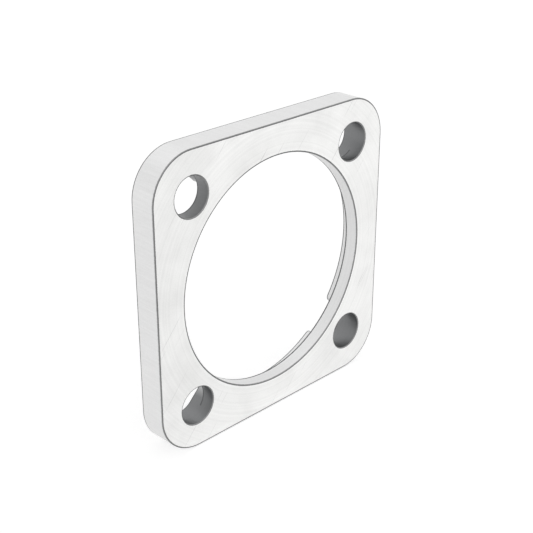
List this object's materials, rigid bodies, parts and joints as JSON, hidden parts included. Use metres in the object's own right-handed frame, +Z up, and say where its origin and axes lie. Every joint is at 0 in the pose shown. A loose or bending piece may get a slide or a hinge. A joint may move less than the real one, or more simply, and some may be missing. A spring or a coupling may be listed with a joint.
{
  "type": "pipe flange",
  "caption": "Square plate flange with a round bore, a round pocket in its back face that seats a pipe end, and a slotted bolt hole in each corner.",
  "frame": {"origin": "centre of the bore and of the bolt pattern, on the back face, which is the face that seals", "axes": "+Y is the bore's axis and points out of the back face, +Z is up as the flange is fitted on a level pipe, and -Y is the side of the bolt heads"},
  "size_m": [0.085, 0.008, 0.085],
  "materials": {
    "flange": "fine machined, bead-blasted and clear anodised, pale satin"
  },
  "bodies": {
    "root": {"flange": "flange"}
  },
  "joints": []
}
